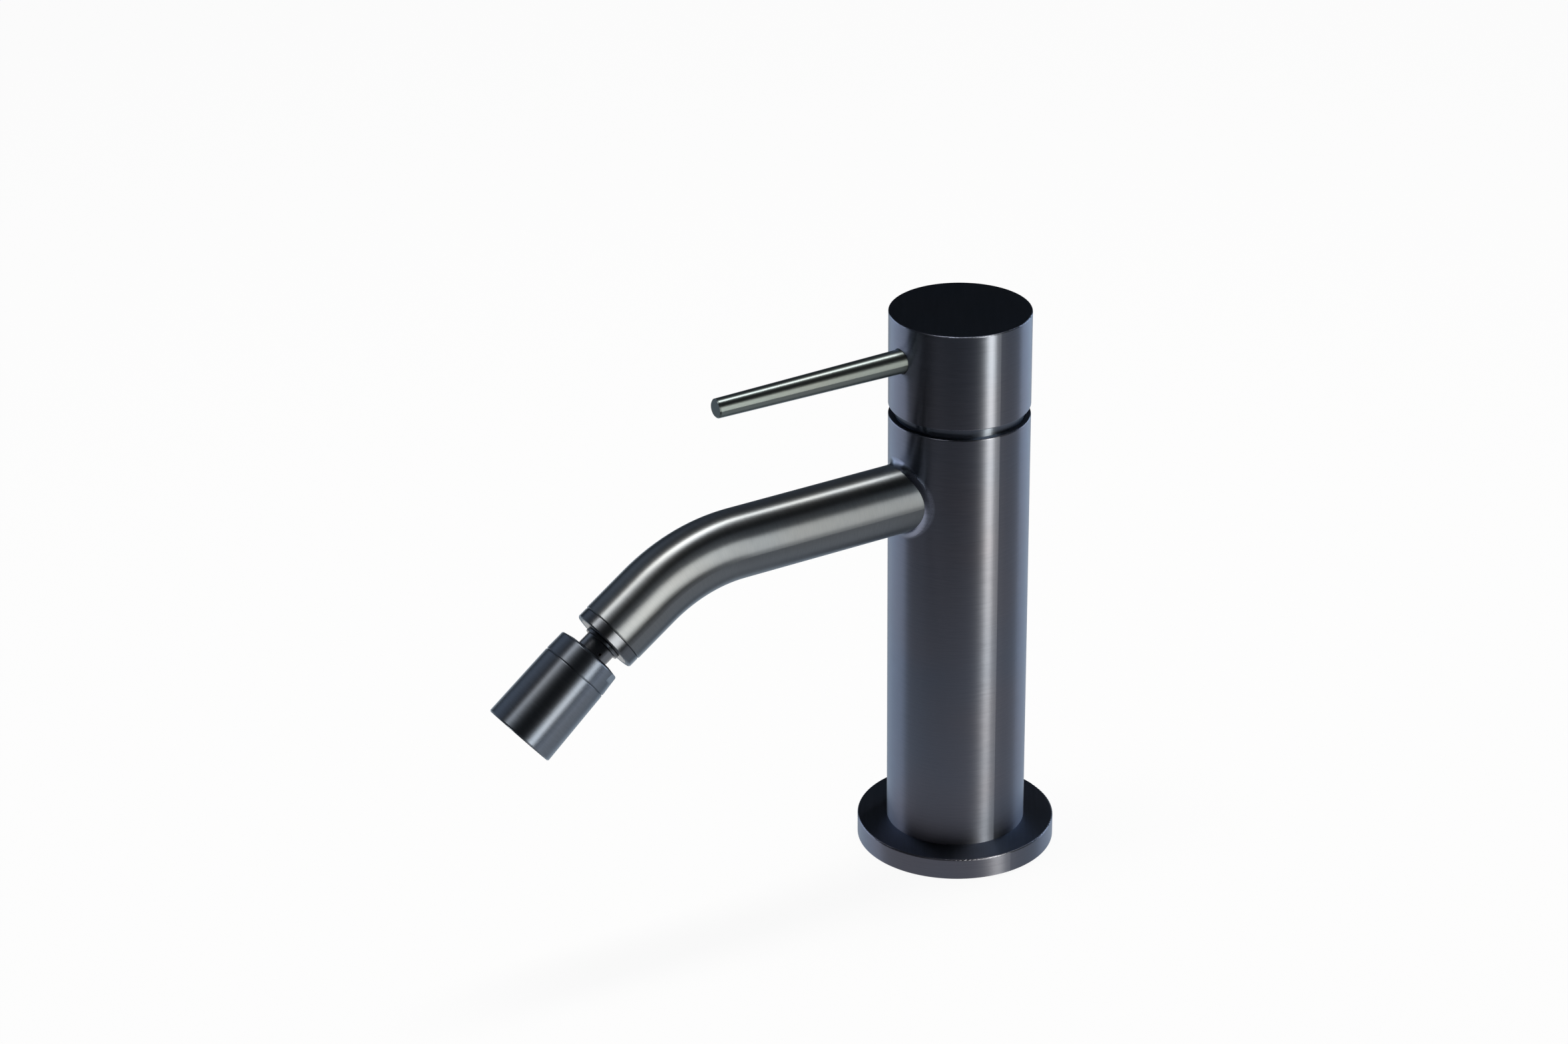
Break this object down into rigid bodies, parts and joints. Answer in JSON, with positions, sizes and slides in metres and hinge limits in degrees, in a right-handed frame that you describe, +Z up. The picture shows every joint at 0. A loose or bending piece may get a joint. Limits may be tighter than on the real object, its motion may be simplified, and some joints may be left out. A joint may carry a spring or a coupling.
{
  "type": "bidet mixer",
  "caption": "Deck-mounted single-lever bidet mixer: round column on a foot ring, bent spout with a swivelling ball-jointed spray nozzle, turning and lifting cap with a pin lever.",
  "frame": {"origin": "centre of the foot's underside, on the deck plane and on the column's axis", "axes": "+Z up along the column, spout and lever towards -Y, hot inlet on -X and cold inlet on +X for a user in front"},
  "size_m": [0.05, 0.1553, 0.1445],
  "materials": {
    "column_metal": "brushed dark gunmetal, satin",
    "spout_metal": "brushed gunmetal, satin",
    "lever_metal": "brushed gunmetal, satin",
    "nozzle_metal": "brushed gunmetal, satin",
    "ball_metal": "polished dark chrome",
    "black_trim": "glossy black",
    "raw_brass": "turned brass",
    "inner_steel": "turned steel",
    "inner_plastic": "moulded acetal",
    "disc_ceramic": "lapped alumina",
    "seal_rubber": "moulded black rubber",
    "aerator_plastic": "moulded grey acetal"
  },
  "bodies": {
    "mixer_body": {"body": "column_metal", "base_flange": "column_metal", "flange_gasket": "seal_rubber", "base_block": "raw_brass", "foot_seal": "seal_rubber", "spout_tube": "spout_metal", "spout_ring": "spout_metal", "ball_adapter": "ball_metal", "adapter_seal": "seal_rubber", "ball_stem": "ball_metal", "port_seals": "seal_rubber", "cartridge_base": "inner_plastic", "fixed_disc": "disc_ceramic", "cartridge_housing": "inner_plastic", "retaining_nut": "raw_brass", "collar_dome": "black_trim"},
    "rotor": {"rotor": "inner_plastic", "rotor_seal": "seal_rubber", "pivot_pin": "inner_steel"},
    "handle": {"lever_stem": "inner_steel", "handle_cap": "column_metal", "cap_hub": "raw_brass", "lever": "lever_metal", "grub_screw": "inner_steel"},
    "disc_carrier": {"moving_disc": "disc_ceramic", "disc_driver": "inner_plastic"},
    "ball_cup": {"ball_cup": "inner_plastic"},
    "cup_backing": {"cup_backing": "inner_steel"},
    "nozzle": {"nozzle_nut": "nozzle_metal", "nozzle_sleeve": "nozzle_metal", "aerator_gasket": "seal_rubber", "aerator_housing": "aerator_plastic", "aerator_grid": "aerator_plastic", "flow_regulator": "inner_plastic"}
  },
  "joints": [
    {"name": "handle_turn", "type": "hinge", "parent": "mixer_body", "child": "rotor", "pos_m": [0, 0, 0.121], "axis": [0, 0, 1], "range_deg": [-50, 50]},
    {"name": "handle_lift", "type": "hinge", "parent": "rotor", "child": "handle", "pos_m": [0, 0, 0.121], "axis": [-1, 0, 0], "range_deg": [0, 7.5]},
    {"name": "disc_slide", "type": "slide", "parent": "rotor", "child": "disc_carrier", "axis": [0, -1, 0], "range_m": [0, 0.00117]},
    {"name": "nozzle_tilt", "type": "hinge", "parent": "mixer_body", "child": "ball_cup", "pos_m": [0, -0.1086, 0.07712], "axis": [1, 0, 0], "range_deg": [-13.6, 4.3]},
    {"name": "nozzle_sway", "type": "hinge", "parent": "ball_cup", "child": "cup_backing", "pos_m": [0, -0.1086, 0.07712], "axis": [0, -0.6346, 0.7728], "range_deg": [-9, 9]},
    {"name": "nozzle_spin", "type": "hinge", "parent": "cup_backing", "child": "nozzle", "pos_m": [0, -0.1086, 0.07712], "axis": [0, -0.7728, -0.6346], "continuous": true}
  ],
  "couplings": [
    {"joint": "disc_slide", "follows": "handle_lift", "m_per_rad": 0.00888}
  ]
}
